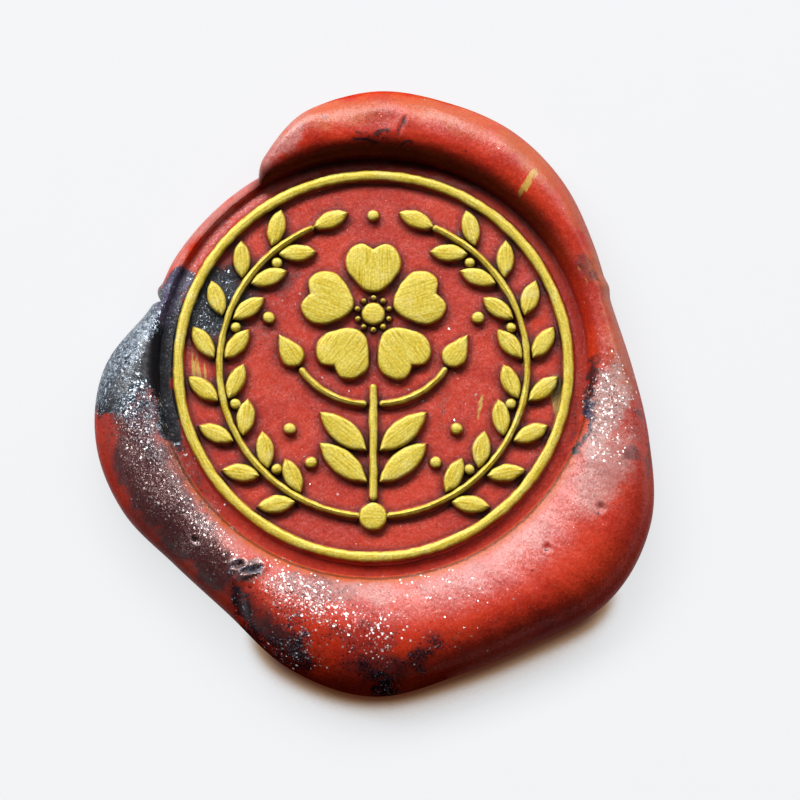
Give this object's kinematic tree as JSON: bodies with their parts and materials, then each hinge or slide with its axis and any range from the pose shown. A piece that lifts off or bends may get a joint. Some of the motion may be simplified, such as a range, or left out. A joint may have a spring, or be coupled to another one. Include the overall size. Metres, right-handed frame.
{
  "type": "wax seal",
  "caption": "Pressed seal of sealing wax with an irregular squeezed-out rim, marbled with dark glitter wax, and a gold-painted raised flower and wreath inside a border ring.",
  "frame": {"origin": "on the flat back that sticks to the paper, under the middle of the round face that the stamp pressed", "axes": "+Z out of the pressed face, +Y towards the top of the ornament and along the seal's longest side, +X to the ornament's right"},
  "size_m": [0.0335, 0.0373, 0.0037],
  "materials": {
    "red_wax": "satin pearlescent sealing wax, with faint grey swirls",
    "dark_wax": "blue-black sealing wax with fine silver glitter, marbled into the red",
    "gold_paint": "gold paint laid on the raised lines by hand, satin, with brush streaks"
  },
  "bodies": {
    "root": {"red_wax": "red_wax", "dark_wax_left_lobe": "dark_wax", "dark_wax_lower_streak": "dark_wax", "dark_wax_right_patch": "dark_wax", "gold_border_ring": "gold_paint", "gold_knot": "gold_paint", "gold_left_branch": "gold_paint", "gold_right_branch": "gold_paint", "gold_left_leaves": "gold_paint", "gold_right_leaves": "gold_paint", "gold_berries": "gold_paint", "gold_flower_petals": "gold_paint", "gold_flower_centre": "gold_paint", "gold_flower_stem": "gold_paint", "gold_stem_leaves": "gold_paint", "gold_buds": "gold_paint", "gold_bud_stalks": "gold_paint", "gold_pellets": "gold_paint"}
  },
  "joints": []
}
